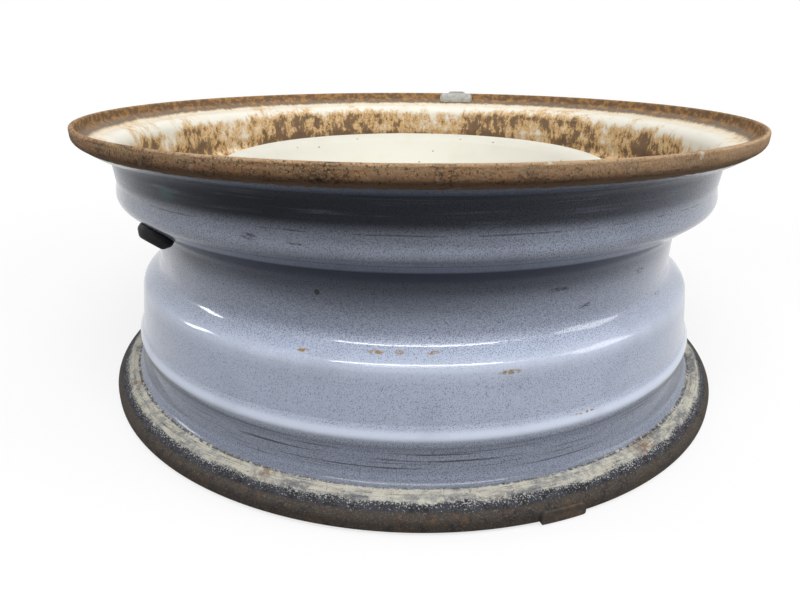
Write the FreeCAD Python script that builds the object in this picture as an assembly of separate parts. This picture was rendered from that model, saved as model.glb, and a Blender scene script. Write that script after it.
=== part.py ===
import FreeCAD, Part
import math
import os

# A pressed-steel car wheel: rolled rim, welded disc, snap-in valve and two clip-on balance weights.
# Millimetres. +Z is the wheel axis, outboard side up. The origin is the middle of the hub mounting face.

# Rim
bead_diameter = 380.2
rim_width = 139.7
flange_height = 17.5
flange_lip = 13.7
lip_straight = 7.0
curl_width = 9.6
rim_sheet = 3.0
seat_width = 18.4
seat_taper = 5.0
outer_hump_place = 28.3
outer_hump_rise = 0.3
well_depth = 19.7
well_start = 45.0
well_width = 28.8
ledge_start = 58.0
ledge_drop = 7.6
ledge_end = 30.3
ledge_end_drop = 3.6
inner_hump_place = 24.3
inner_hump_drop = 0.6
lip_round = 1.2
lip_bend = 5.0
curl_bend = 8.0
bead_bend = 6.5
outer_seat_bend = 4.0
outer_hump_bend = 7.9
well_bend = 8.0
ledge_bend = 7.4
ledge_end_bend = 4.0
inner_hump_bend = 4.0
inner_seat_bend = 4.0

# Disc
offset = 22.0
disc_sheet = 4.0
skirt_inset = 5.3
shoulder_rise = 2.1
crown_radius = 120.0
crown_height = 37.7
plate_radius = 88.0
bore_diameter = 108.0
bolt_circle = 139.7
bolt_count = 5
bolt_hole = 15.0
seat_mouth = 21.0
boss_foot = 17.0
boss_height = 3.5
hand_hole = 26.0
hand_hole_count = 10
weld_count = 8
weld_length = 56.0
weld_leg = 5.0
weld_inset = 0.2
weld_crown = 0.9
shoulder_bend = 14.0
crown_bend = 16.0
plate_bend = 10.0
nut_cone = 60.0

# Valve
valve_azimuth = -47.0
valve_hole = 11.5
bulb_diameter = 19.0
bulb_height = 7.5
bulb_taper = 2.6
bulb_rim = 2.4
bulb_foot_round = 2.2
bulb_round = 1.6
groove_round = 0.3
neck_height = 3.0
neck_foot_round = 0.6
neck_round = 1.6
sleeve_bend = 3.0
sleeve_draft = 0.3
sleeve_round = 1.0
neck_diameter = 14.8
stem_sleeve = 11.4
rubber_top = 25.5
air_bore = 4.4
stem_diameter = 7.7
stem_foot = 8.0
stem_top = 36.5
barb_size = 0.5
barb_height = 2.0
barb_count = 3
chamber_diameter = 5.3
chamber_floor = 14.0
stem_air = 3.4
core_clearance = 0.1
core_top = 35.0
core_head = 4.5
core_foot = 22.0
core_neck = 3.8
core_cavity = 3.0
core_hole = 1.8
core_floor = 1.5
gasket_place = 27.0
gasket_height = 2.5
pin_diameter = 1.0
pin_stand = 1.2
pin_travel = 1.0
collar_height = 0.6
collar_gap = 0.3
collar_play = 0.2
poppet_diameter = 3.4
poppet_height = 1.5
seal_height = 0.6
seal_play = 0.05
spring_wire = 0.3
spring_turns = 5
spring_play = 0.15
cap_diameter = 10.0
cap_clearance = 0.35
cap_skirt = 9.5
cap_roof = 1.4
cap_seal = 0.8
cap_seal_hole = 2.0
cap_top_inset = 1.0
cap_shoulder = 3.0

# Balance weights
clip_sheet = 1.5
clip_gap = 0.2
clip_reach = 6.5
clip_root = 4.0
clip_corner = 3.0
lead_thickness = 6.0
lead_height = 10.0
lead_stand = 0.4
lead_back = 7.5
lead_top = 4.2
lead_belly = 5.0
lead_foot_near = 2.4
lead_foot_far = 5.4
lead_edge = 0.6
lead_round = 1.6
lead_end = 4.5
outer_weight_azimuth = 168.3
outer_lead_length = 32.0
outer_clip_width = 16.0
inner_weight_azimuth = 20.7
inner_lead_length = 36.0
inner_clip_width = 24.0

# Worked out from the sizes above
bead_radius = bead_diameter / 2
flange_radius = bead_radius + flange_height
rim_middle = -offset
outer_face = rim_middle + rim_width / 2
inner_face = rim_middle - rim_width / 2
outer_edge = outer_face + flange_lip
inner_edge = inner_face - flange_lip
seat_drop = seat_width * math.tan(math.radians(seat_taper))
well_radius = bead_radius - well_depth
well_top = outer_face - well_start
well_foot = well_top - well_width
hump_corner = (bead_radius + outer_hump_rise, outer_face - outer_hump_place)
well_corner = (well_radius, well_top)
skirt_radius = well_radius - rim_sheet
skirt_edge = well_foot + skirt_inset
shoulder = well_top + shoulder_rise


def vector(radius, height):
    return FreeCAD.Vector(radius, 0, height)


def direction(start, end):
    length = math.dist(start[:2], end[:2])
    return (end[0] - start[0]) / length, (end[1] - start[1]) / length


# A path of straight runs whose corners (radius, height, rounding) are joined by tangent arcs
def rounded_path(corners):
    edges = []
    start = vector(*corners[0][:2])
    for before, here, after in zip(corners, corners[1:], corners[2:]):
        back = vector(*direction(here, before))
        ahead = vector(*direction(here, after))
        half = back.getAngle(ahead) / 2
        middle = (back + ahead).normalize()
        corner = vector(*here[:2])
        arc_start = corner + back * (here[2] / math.tan(half))
        arc_end = corner + ahead * (here[2] / math.tan(half))
        arc_middle = corner + middle * (here[2] / math.sin(half) - here[2])
        edges.append(Part.LineSegment(start, arc_start).toShape())
        edges.append(Part.Arc(arc_start, arc_middle, arc_end).toShape())
        start = arc_end
    edges.append(Part.LineSegment(start, vector(*corners[-1][:2])).toShape())
    return edges


# The same path moved sideways by a sheet thickness, to the left of its direction of travel if positive
def moved_path(corners, thickness):
    moved = []
    for index, here in enumerate(corners):
        before = corners[max(index - 1, 0)]
        after = corners[min(index + 1, len(corners) - 1)]
        first = direction(before, here) if index else direction(here, after)
        last = direction(here, after) if index < len(corners) - 1 else first
        lean = 1 + first[0] * last[0] + first[1] * last[1]
        turn = first[0] * last[1] - first[1] * last[0]
        radius = here[0] - thickness * (first[1] + last[1]) / lean
        height = here[1] + thickness * (first[0] + last[0]) / lean
        rounding = here[2] - thickness * math.copysign(1, turn)
        moved.append((radius, height, rounding))
    return moved


# Cross-section of a sheet of even thickness that follows a rounded path
def sheet_section(corners, thickness):
    other = moved_path(corners, thickness)
    first_end = Part.LineSegment(vector(*corners[0][:2]), vector(*other[0][:2])).toShape()
    last_end = Part.LineSegment(vector(*corners[-1][:2]), vector(*other[-1][:2])).toShape()
    edges = rounded_path(corners) + rounded_path(other) + [first_end, last_end]
    return Part.Face(Part.Wire(Part.__sortEdges__(edges)))


def turned(section, angle=360):
    return section.revolve(FreeCAD.Vector(), FreeCAD.Vector(0, 0, 1), angle)


def turned_outline(points):
    outline = [vector(*point) for point in points]
    return turned(Part.Face(Part.makePolygon(outline + outline[:1])))


# Azimuth counts from -Y, growing towards +X
def place_at(shape, azimuth):
    shape = shape.copy()
    shape.rotate(FreeCAD.Vector(), FreeCAD.Vector(0, 0, 1), azimuth - 90)
    return shape


def edges_at(shape, heights):
    found = []
    for edge in shape.Edges:
        box = edge.BoundBox
        if box.ZLength < 0.01 and any(abs(box.ZMin - height) < 0.01 for height in heights):
            found.append(edge)
    return found


# Rim: rolled from one strip, with flange, bead seat and hump on both sides and a drop well between
def rim_corners():
    return [
        (flange_radius, outer_edge, 0),
        (flange_radius, outer_edge - lip_straight, lip_bend),
        (flange_radius - curl_width, outer_face, curl_bend),
        (bead_radius, outer_face, bead_bend),
        (bead_radius - seat_drop, outer_face - seat_width, outer_seat_bend),
        hump_corner + (outer_hump_bend,),
        well_corner + (well_bend,),
        (well_radius, well_foot, well_bend),
        (bead_radius - ledge_drop, inner_face + ledge_start, ledge_bend),
        (bead_radius - ledge_end_drop, inner_face + ledge_end, ledge_end_bend),
        (bead_radius - inner_hump_drop, inner_face + inner_hump_place, inner_hump_bend),
        (bead_radius - seat_drop, inner_face + seat_width, inner_seat_bend),
        (bead_radius, inner_face, bead_bend),
        (flange_radius - curl_width, inner_face, curl_bend),
        (flange_radius, inner_edge + lip_straight, lip_bend),
        (flange_radius, inner_edge, 0),
    ]


def rim_barrel():
    rim = turned(sheet_section(rim_corners(), -rim_sheet))
    rim = rim.makeFillet(lip_round, edges_at(rim, (outer_edge, inner_edge)))
    hole = Part.makeCylinder(valve_hole / 2, 4 * rim_sheet, FreeCAD.Vector(0, 0, -2 * rim_sheet))
    return rim.cut(valve_seated(hole))


# Disc: one pressing from the welded skirt over the crown to the bolted hub plate
def disc_corners():
    return [
        (skirt_radius, skirt_edge, 0),
        (skirt_radius, shoulder, shoulder_bend),
        (crown_radius, crown_height, crown_bend),
        (plate_radius, disc_sheet, plate_bend),
        (bore_diameter / 2, disc_sheet, 0),
    ]


def around(shape, count, start=0):
    axis = FreeCAD.Vector(0, 0, 1)
    copies = [shape.copy() for _ in range(count)]
    for index, copy in enumerate(copies):
        copy.rotate(FreeCAD.Vector(), axis, start + 360 * index / count)
    return copies


def hand_hole_cutter():
    slope = direction((crown_radius, crown_height), (skirt_radius, shoulder))
    middle = vector((crown_radius + skirt_radius) / 2, (crown_height + shoulder) / 2)
    outward = vector(-slope[1], slope[0])
    return Part.makeCylinder(hand_hole / 2, 6 * disc_sheet, middle - outward * 3 * disc_sheet, outward)


def wheel_disc():
    disc = turned(sheet_section(disc_corners(), disc_sheet))
    seat_top = disc_sheet + boss_height
    seat_depth = (seat_mouth - bolt_hole) / 2 / math.tan(math.radians(nut_cone / 2))
    bolt_place = vector(bolt_circle / 2, 0)
    boss = Part.makeCone(boss_foot, boss_foot - boss_height, boss_height, bolt_place + vector(0, disc_sheet))
    hole = Part.makeCylinder(bolt_hole / 2, 2 * seat_top, bolt_place - vector(0, seat_top / 2))
    cone_base = bolt_place + vector(0, seat_top - seat_depth)
    cone = Part.makeCone(bolt_hole / 2, seat_mouth / 2, seat_depth, cone_base)
    disc = disc.fuse(around(boss, bolt_count, 90)).removeSplitter()
    disc = disc.cut(around(hole, bolt_count, 90) + around(cone, bolt_count, 90))
    return disc.cut(around(hand_hole_cutter(), hand_hole_count, 90))


# Fillet welds between the inboard edge of the skirt and the inside of the well
def disc_welds():
    corner = vector(skirt_radius, skirt_edge)
    side = corner - vector(disc_sheet - weld_inset, 0)
    foot = corner - vector(0, weld_leg)
    bulge = (side + foot) * 0.5 + vector(-1, -1).normalize() * weld_crown
    edges = [Part.LineSegment(corner, side).toShape()]
    edges.append(Part.Arc(side, bulge, foot).toShape())
    edges.append(Part.LineSegment(foot, corner).toShape())
    bead = turned(Part.Face(Part.Wire(edges)), math.degrees(weld_length / skirt_radius))
    return Part.makeCompound(around(bead, weld_count))


# Valve pieces are turned about their own axis: height 0 is the tyre side of the rim, up is outboard
def valve_frame():
    slope = direction(hump_corner, well_corner)
    middle = vector((hump_corner[0] + well_corner[0]) / 2, (hump_corner[1] + well_corner[1]) / 2)
    outboard = vector(slope[1], -slope[0])
    return FreeCAD.Placement(middle, FreeCAD.Rotation(FreeCAD.Vector(0, 0, 1), outboard))


def valve_seated(shape):
    shape = shape.copy()
    shape.Placement = valve_frame().multiply(shape.Placement)
    return place_at(shape, valve_azimuth)


def valve_rubber():
    outer = [
        (air_bore / 2, -bulb_height, 0),
        (bulb_diameter / 2 - bulb_taper, -bulb_height, bulb_foot_round),
        (bulb_diameter / 2, -bulb_rim, bulb_round),
        (bulb_diameter / 2, 0, groove_round),
        (valve_hole / 2, 0, groove_round),
        (valve_hole / 2, rim_sheet, groove_round),
        (neck_diameter / 2, rim_sheet, neck_foot_round),
        (neck_diameter / 2, rim_sheet + neck_height, neck_round),
        (stem_sleeve / 2, rubber_top / 2, sleeve_bend),
        (stem_sleeve / 2 - sleeve_draft, rubber_top, sleeve_round),
        (air_bore / 2, rubber_top, 0),
    ]
    edges = rounded_path(outer)
    edges.append(Part.LineSegment(vector(*outer[-1][:2]), vector(*outer[0][:2])).toShape())
    body = turned(Part.Face(Part.Wire(edges)))
    return body.cut(stem_outside())


def stem_outside():
    stem = Part.makeCylinder(stem_diameter / 2, stem_top - stem_foot, FreeCAD.Vector(0, 0, stem_foot))
    stem_radius = stem_diameter / 2
    barb_pitch = (rubber_top - stem_foot) / (barb_count + 1)
    for index in range(barb_count):
        low = FreeCAD.Vector(0, 0, stem_foot + (index + 0.5) * barb_pitch)
        stem = stem.fuse(Part.makeCone(stem_radius + barb_size, stem_radius, barb_height, low))
    return stem


def valve_stem():
    chamber_height = stem_top - chamber_floor
    chamber = Part.makeCylinder(chamber_diameter / 2, chamber_height, FreeCAD.Vector(0, 0, chamber_floor))
    passage = Part.makeCylinder(stem_air / 2, stem_top, FreeCAD.Vector(0, 0, stem_foot - stem_air))
    return stem_outside().cut([chamber, passage])


core_radius = chamber_diameter / 2 - core_clearance
cavity_floor = core_foot + core_floor
cavity_top = core_top - core_head
collar_top = cavity_top - collar_play
poppet_top = core_foot - seal_height


def core_body():
    outer = [
        (core_hole / 2, core_foot),
        (core_neck / 2, core_foot),
        (core_neck / 2, cavity_top),
        (core_radius, cavity_top),
        (core_radius, core_top),
        (core_hole / 2, core_top),
        (core_hole / 2, cavity_top),
        (core_cavity / 2, cavity_top),
        (core_cavity / 2, cavity_floor),
        (core_hole / 2, cavity_floor),
    ]
    return turned_outline(outer)


def core_gasket():
    ring = Part.makeCylinder(core_radius, gasket_height, FreeCAD.Vector(0, 0, gasket_place))
    return ring.cut(Part.makeCylinder(core_neck / 2, gasket_height, FreeCAD.Vector(0, 0, gasket_place)))


def core_pin():
    half = pin_diameter / 2
    collar = core_cavity / 2 - collar_gap
    poppet_foot = poppet_top - poppet_height
    outline = [
        (0, poppet_foot),
        (poppet_diameter / 2, poppet_foot),
        (poppet_diameter / 2, poppet_top),
        (half, poppet_top),
        (half, collar_top - collar_height),
        (collar, collar_top - collar_height),
        (collar, collar_top),
        (half, collar_top),
        (half, core_top + pin_stand),
        (0, core_top + pin_stand),
    ]
    return turned_outline(outline)


def core_seal():
    washer = Part.makeCylinder(poppet_diameter / 2, seal_height - seal_play, FreeCAD.Vector(0, 0, poppet_top))
    return washer.cut(Part.makeCylinder(pin_diameter / 2, seal_height, FreeCAD.Vector(0, 0, poppet_top)))


# Square-wire spring, drawn at its pressed length, so that the pin's collar has its travel above it
def core_spring():
    foot = cavity_floor + spring_play
    top = collar_top - collar_height - pin_travel - spring_play
    inside = core_cavity / 2 - 1.5 * spring_wire
    height = top - foot - spring_wire
    helix = Part.makeHelix(height / spring_turns, height, inside + spring_wire / 2)
    sides = ((0, 0), (1, 0), (1, 1), (0, 1), (0, 0))
    corners = [vector(inside + spring_wire * right, spring_wire * up) for right, up in sides]
    helix.translate(vector(0, spring_wire / 2))
    spring = Part.Wire(helix).makePipeShell([Part.makePolygon(corners)], True, True)
    spring.translate(vector(0, foot))
    return spring


def valve_cap():
    inside = stem_diameter / 2 + cap_clearance
    roof = stem_top + cap_seal + pin_stand
    half = cap_diameter / 2
    outer = [
        (0, roof + cap_roof, 0),
        (half - cap_top_inset, roof + cap_roof, cap_top_inset),
        (half, roof - cap_shoulder, cap_shoulder),
        (half, stem_top - cap_skirt, 0),
    ]
    edges = rounded_path(outer)
    corners = [outer[-1][:2], (inside, stem_top - cap_skirt), (inside, roof), (0, roof), outer[0][:2]]
    edges += [Part.LineSegment(vector(*a), vector(*b)).toShape() for a, b in zip(corners, corners[1:])]
    return turned(Part.Face(Part.Wire(edges)))


def cap_seal_ring():
    roof = stem_top + cap_seal + pin_stand
    outer = Part.makeCylinder(stem_diameter / 2 + cap_clearance, cap_seal, FreeCAD.Vector(0, 0, roof - cap_seal))
    return outer.cut(Part.makeCylinder(cap_seal_hole, cap_seal, FreeCAD.Vector(0, 0, roof - cap_seal)))


# A section carried along the lip over a given length, its middle on the X axis
def swept_round(section, length):
    angle = math.degrees(length / flange_radius)
    shape = turned(section, angle)
    shape.rotate(FreeCAD.Vector(), FreeCAD.Vector(0, 0, 1), -angle / 2)
    return shape


# An upright tablet that rounds the ends of a weight, as seen from the wheel's axis
def tablet(length, low, high, rounding):
    half = length / 2
    sides = [
        (0, low, 0),
        (half, low, rounding),
        (half, high, rounding),
        (-half, high, rounding),
        (-half, low, rounding),
        (0, low, 0),
    ]
    plate = Part.Face(Part.Wire(rounded_path(sides))).extrude(FreeCAD.Vector(0, 2 * flange_radius, 0))
    plate.rotate(FreeCAD.Vector(), FreeCAD.Vector(0, 0, 1), -90)
    return plate


# A balance weight for the outboard lip: a lead body cast round the root of a spring clip
def weight_clip(width):
    lip_inside = flange_radius - rim_sheet - clip_gap
    over = outer_edge + clip_gap
    path = [
        (lip_inside, outer_edge - clip_root, 0),
        (lip_inside, over, lip_round),
        (flange_radius + clip_gap, over, lip_round),
        (flange_radius + clip_gap, outer_edge - clip_reach, 0),
    ]
    clip = swept_round(sheet_section(path, clip_sheet), width)
    return clip.common(tablet(width, outer_edge - clip_reach, over + clip_sheet, clip_corner))


def weight_lead(length, clip, rim):
    outside = flange_radius - rim_sheet
    top = outer_edge + lead_stand
    section = [
        (outside, top - lead_back, 0),
        (outside, top, lead_edge),
        (outside - lead_top, top, lead_round),
        (outside - lead_thickness, top - lead_belly, lead_round),
        (outside - lead_foot_far, top - lead_height, lead_round),
        (outside - lead_foot_near, top - lead_height, lead_round),
        (outside, top - lead_back, 0),
    ]
    lead = swept_round(Part.Face(Part.Wire(rounded_path(section))), length)
    lead = lead.common(tablet(length, top - lead_height, top, lead_end))
    return lead.cut([clip, rim])


def mirrored(shape):
    return shape.mirror(FreeCAD.Vector(0, 0, rim_middle), FreeCAD.Vector(0, 0, 1))


rim = rim_barrel()
outer_clip = weight_clip(outer_clip_width)
outer_lead = weight_lead(outer_lead_length, outer_clip, rim)
inner_clip = weight_clip(inner_clip_width)
inner_lead = weight_lead(inner_lead_length, inner_clip, rim)

nodes = {
    "rim_barrel": rim,
    "wheel_disc": wheel_disc(),
    "disc_welds": disc_welds(),
    "valve_rubber": valve_seated(valve_rubber()),
    "valve_stem": valve_seated(valve_stem()),
    "valve_core_body": valve_seated(core_body()),
    "valve_core_gasket": valve_seated(core_gasket()),
    "valve_core_pin": valve_seated(core_pin()),
    "valve_core_seal": valve_seated(core_seal()),
    "valve_core_spring": valve_seated(core_spring()),
    "valve_cap": valve_seated(valve_cap()),
    "valve_cap_seal": valve_seated(cap_seal_ring()),
    "outer_weight_lead": place_at(outer_lead, outer_weight_azimuth),
    "outer_weight_clip": place_at(outer_clip, outer_weight_azimuth),
    "inner_weight_lead": place_at(mirrored(inner_lead), inner_weight_azimuth),
    "inner_weight_clip": place_at(mirrored(inner_clip), inner_weight_azimuth),
}

os.makedirs("parts", exist_ok=True)
for name, shape in nodes.items():
    shape.exportStep(f"parts/{name}.step")
    print(name, len(shape.Solids), shape.isValid(), round(shape.Volume, 1))
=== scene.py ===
import bpy
import bmesh
import math
from mathutils import Matrix, Vector


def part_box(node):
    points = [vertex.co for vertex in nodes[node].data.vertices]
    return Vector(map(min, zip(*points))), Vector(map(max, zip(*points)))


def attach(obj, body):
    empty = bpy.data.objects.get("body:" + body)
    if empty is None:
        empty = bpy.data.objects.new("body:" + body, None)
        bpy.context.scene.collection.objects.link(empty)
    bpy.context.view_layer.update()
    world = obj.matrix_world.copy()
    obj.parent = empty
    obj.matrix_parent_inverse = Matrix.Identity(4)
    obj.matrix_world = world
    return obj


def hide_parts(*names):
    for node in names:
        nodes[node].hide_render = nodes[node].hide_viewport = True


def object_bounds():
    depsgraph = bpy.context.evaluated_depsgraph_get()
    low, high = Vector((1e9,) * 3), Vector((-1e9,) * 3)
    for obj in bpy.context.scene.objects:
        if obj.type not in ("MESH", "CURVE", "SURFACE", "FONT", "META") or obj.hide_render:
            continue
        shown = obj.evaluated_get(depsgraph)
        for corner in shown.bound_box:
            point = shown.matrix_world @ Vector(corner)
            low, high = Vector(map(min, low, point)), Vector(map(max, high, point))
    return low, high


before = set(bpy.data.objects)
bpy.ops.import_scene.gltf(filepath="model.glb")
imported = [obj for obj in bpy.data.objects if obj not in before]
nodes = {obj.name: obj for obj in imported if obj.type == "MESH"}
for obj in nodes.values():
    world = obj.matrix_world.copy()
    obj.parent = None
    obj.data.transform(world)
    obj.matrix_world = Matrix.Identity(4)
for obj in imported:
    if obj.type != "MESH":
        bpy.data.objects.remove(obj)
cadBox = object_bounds()
mm = 0.001
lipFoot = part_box("rim_barrel")[0].z      # the inboard lip edge, where heights on the wheel count from
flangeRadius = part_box("rim_barrel")[1].x
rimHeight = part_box("rim_barrel")[1].z - lipFoot
print("frame loaded")


# Shader maths: a wrapped socket takes part in sums
class Wire:
    def __init__(self, socket):
        self.socket = socket
        self.tree = socket.id_data

    def math(self, operation, *others):
        node = self.tree.nodes.new("ShaderNodeMath")
        node.operation = operation
        for slot, value in zip(node.inputs, (self,) + others):
            feed(self.tree, slot, value)
        return Wire(node.outputs[0])

    def __add__(self, other):
        return self.math("ADD", other)

    def __sub__(self, other):
        return self.math("SUBTRACT", other)

    def __mul__(self, other):
        return self.math("MULTIPLY", other)

    def __truediv__(self, other):
        return self.math("DIVIDE", other)

    def __rsub__(self, other):
        return (self * -1) + other

    __radd__ = __add__
    __rmul__ = __mul__

    def power(self, other):
        return self.math("POWER", other)

    def least(self, other):
        return self.math("MINIMUM", other)

    def most(self, other):
        return self.math("MAXIMUM", other)


def feed(tree, slot, value):
    if isinstance(value, Wire):
        tree.links.new(value.socket, slot)
    elif value is not None:
        slot.default_value = value


# A material under construction, with one method for every node that isn't a sum
class Finish:
    def __init__(self, name):
        self.material = bpy.data.materials.new(name)
        self.material.use_nodes = True
        self.tree = self.material.node_tree
        self.tree.nodes.clear()
        place = self.add("ShaderNodeTexCoord", out="Object")
        self.mapped = self.add("ShaderNodeVectorMath", {"operation": "SCALE"},
                               {0: place, "Scale": 1 / mm})
        parts = self.add("ShaderNodeSeparateXYZ", {}, {0: self.mapped}, out=None)
        self.x, self.y, self.z = (Wire(socket) for socket in parts.outputs)
        self.height = self.z - lipFoot / mm
        self.radius = (self.x * self.x + self.y * self.y).math("SQRT")
        # how far to the front and to the right a place faces, from -1 to 1
        self.ahead = self.y * -1 / self.radius
        self.aside = self.x / self.radius

    def add(self, kind, settings=None, values=None, out=0):
        node = self.tree.nodes.new(kind)
        for key, value in (settings or {}).items():
            setattr(node, key, value)
        for key, value in (values or {}).items():
            feed(self.tree, node.inputs[key], value)
        return node if out is None else Wire(node.outputs[out])

    # fine-grained pattern, its scale given as the size of a feature in millimetres
    def grain(self, size, detail, rough, stretch, shift):
        where = self.add("ShaderNodeMapping", {}, {
            "Vector": self.mapped, "Scale": tuple(1 / (size * s) for s in stretch),
            "Location": (shift, shift * 0.7, shift * 1.3)})
        return self.add("ShaderNodeTexNoise", {}, {
            "Vector": where, "Scale": 1.0, "Detail": detail, "Roughness": rough})

    # pattern drawn out round the wheel: its length round the rim and its width across, in millimetres
    def ring(self, along, across, level, detail, rough, shift):
        turns = flangeRadius / mm / along
        where = self.add("ShaderNodeCombineXYZ", {}, {
            "X": self.aside * turns + shift, "Y": self.ahead * turns, "Z": level / across})
        return self.add("ShaderNodeTexNoise", {}, {
            "Vector": where, "Scale": 1.0, "Detail": detail, "Roughness": rough})

    # a patch at an azimuth and height, faded from its middle outwards
    def spot(self, place, soft):
        azimuth, level, wide, high = place
        turn = self.aside.math("ARCTAN2", self.ahead) - math.radians(azimuth)
        across = turn * self.radius / wide
        up = (self.height - level) / high
        away = (across * across + up * up).math("SQRT")
        return 1 - self.step(away, 1 - soft, 1.0)

    # how far it is to the nearest of a ring of holes, the first of them at the back
    def nearest(self, count, circle):
        turn = self.x.math("ARCTAN2", self.y)
        apart = turn.math("WRAP", math.pi / count, -math.pi / count)
        squares = self.radius * self.radius + circle * circle
        between = squares - self.radius * apart.math("COSINE") * 2 * circle
        return between.most(0.0).math("SQRT")

    # scattered dots, given as the distance to the nearest one in dot spacings
    def cells(self, size, shift):
        where = self.add("ShaderNodeMapping", {}, {
            "Vector": self.mapped, "Scale": (1 / size,) * 3,
            "Location": (shift, shift * 0.6, shift * 1.7)})
        return self.add("ShaderNodeTexVoronoi", {}, {"Vector": where, "Scale": 1.0}, out="Distance")

    # the pattern of a look: drawn out round the wheel where it has a length along
    def pattern(self, look, level=None, shift=0.0):
        kind = dict(detail=look["detail"], rough=look["rough"], shift=look["shift"] + shift)
        if "along" in look:
            return self.ring(look["along"], look["across"], level, **kind)
        return self.grain(look["size"], stretch=look.get("stretch", (1, 1, 1)), **kind)

    # where a look covers: its own pattern or another value, faded in
    def cover(self, look, value=None, level=None):
        value = self.pattern(look, level) if value is None else value
        faded = self.step(value, *look["fade"])
        return faded * look["share"] if "share" in look else faded

    def step(self, value, low, high):
        return self.add("ShaderNodeMapRange", {"interpolation_type": "SMOOTHSTEP"}, {
            "Value": value, "From Min": low, "From Max": high, "To Min": 0.0, "To Max": 1.0})

    def band(self, value, low, high, soft):
        begun = self.step(value, low - soft, low + soft)
        ended = self.step(value, high - soft, high + soft)
        return begun * (1 - ended)

    def mix(self, first, second, factor):
        # a mix node has a set of sockets for every kind of data; these are the ones for colours
        return self.add("ShaderNodeMix", {"data_type": "RGBA"},
                        {0: factor, 6: colour(first), 7: colour(second)}, out=2)

    def bump(self, height, strength, distance):
        return self.add("ShaderNodeBump", {}, {
            "Height": height, "Strength": strength, "Distance": distance * mm})

    def shade(self, **values):
        shader = self.add("ShaderNodeBsdfPrincipled", {}, {}, out=None)
        for key, value in values.items():
            feed(self.tree, shader.inputs[key.replace("_", " ")], colour(value))
        output = self.add("ShaderNodeOutputMaterial", {}, {}, out=None)
        self.tree.links.new(shader.outputs[0], output.inputs["Surface"])
        return self.material


def colour(value):
    return tuple(value) + (1.0,) if isinstance(value, tuple) and len(value) == 3 else value


# Camera: where the photograph was taken from, in metres from the wheel's axis and lower lip
cameraView = dict(place=(0.0, -0.4214, 0.2031), pitch=0.3901, yaw=-0.0330, roll=0.0029,
                  focal=601.64, centre=(392.28, 300.70), picture=(800, 600), sensor=36.0, near=0.01)


def makeCamera(view):
    data = bpy.data.cameras.new("camera")
    camera = bpy.data.objects.new("camera", data)
    bpy.context.collection.objects.link(camera)
    ahead = Vector((math.sin(view["yaw"]), math.cos(view["yaw"]), 0))
    right = Vector((math.cos(view["yaw"]), -math.sin(view["yaw"]), 0))
    look = ahead * math.cos(view["pitch"]) - Vector((0, 0, math.sin(view["pitch"])))
    up = right.cross(look)
    sideways = right * math.cos(view["roll"]) + up * math.sin(view["roll"])
    upright = up * math.cos(view["roll"]) - right * math.sin(view["roll"])
    turn = Matrix((sideways, upright, -look)).transposed().to_4x4()
    place = Vector(view["place"]) + Vector((0, 0, lipFoot))
    camera.matrix_world = Matrix.Translation(place) @ turn
    wide, high = view["picture"]
    data.sensor_width = view["sensor"]
    data.lens = view["focal"] / wide * view["sensor"]
    data.shift_x = (wide / 2 - view["centre"][0]) / wide
    data.shift_y = (view["centre"][1] - high / 2) / wide
    data.clip_start = view["near"]
    bpy.context.scene.camera = camera


makeCamera(cameraView)
print("camera placed")


# Studio: pale floor, white background, two strip lamps high in front, a soft one above and at each side
studio = dict(floorSize=8.0, floorColour=(0.80, 0.80, 0.80), bounce=(0.07, 0.07, 0.075),
              whiteNear=0.72, shadowReach=(0.22, 0.75), sky=0.40, horizon=0.08, ground=0.02)
lamps = dict(
    key=dict(place=(0.05, -0.86, 1.30), size=(1.5, 0.20), power=19.0),
    glint=dict(place=(0.30, -1.00, 1.10), size=(1.5, 0.10), power=4.0),
    above=dict(place=(0.0, 0.35, 1.6), size=(1.4, 1.0), power=5.0),
    leftSide=dict(place=(-1.35, 0.05, 0.62), size=(0.18, 0.40), power=4.0),
    rightSide=dict(place=(1.35, -0.30, 0.70), size=(0.7, 0.6), power=7.0))


# 1 for a ray that shows the surface itself, 0 for one that only carries its light on
def seenDirectly(tree):
    path = tree.nodes.new("ShaderNodeLightPath")
    kinds = ("Is Camera Ray", "Is Glossy Ray", "Is Transmission Ray")
    camera, glossy, through = (Wire(path.outputs[kind]) for kind in kinds)
    return camera.most(glossy).most(through)


def makeFloor(settings):
    mesh = bpy.data.meshes.new("floor")
    floor = bpy.data.objects.new("floor", mesh)
    bpy.context.collection.objects.link(floor)
    bm = bmesh.new()
    bmesh.ops.create_grid(bm, x_segments=1, y_segments=1, size=settings["floorSize"])
    bmesh.ops.translate(bm, verts=bm.verts, vec=(0, 0, cadBox[0].z))
    bm.to_mesh(mesh)
    bm.free()
    finish = Finish("floorPale")
    seen = seenDirectly(finish.tree)
    tone = finish.mix(settings["bounce"], settings["floorColour"], seen)
    pale = finish.add("ShaderNodeBsdfDiffuse", {}, {"Color": tone})
    white = finish.add("ShaderNodeEmission", {}, {"Strength": 1.0})
    near, far = settings["shadowReach"]
    outward = finish.step(finish.radius * mm, near, far)
    share = outward * (1 - settings["whiteNear"]) + settings["whiteNear"]
    surface = finish.add("ShaderNodeMixShader", {}, {0: seen * share, 1: pale, 2: white})
    finish.add("ShaderNodeOutputMaterial", {}, {"Surface": surface}, out=None)
    mesh.materials.append(finish.material)


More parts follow.
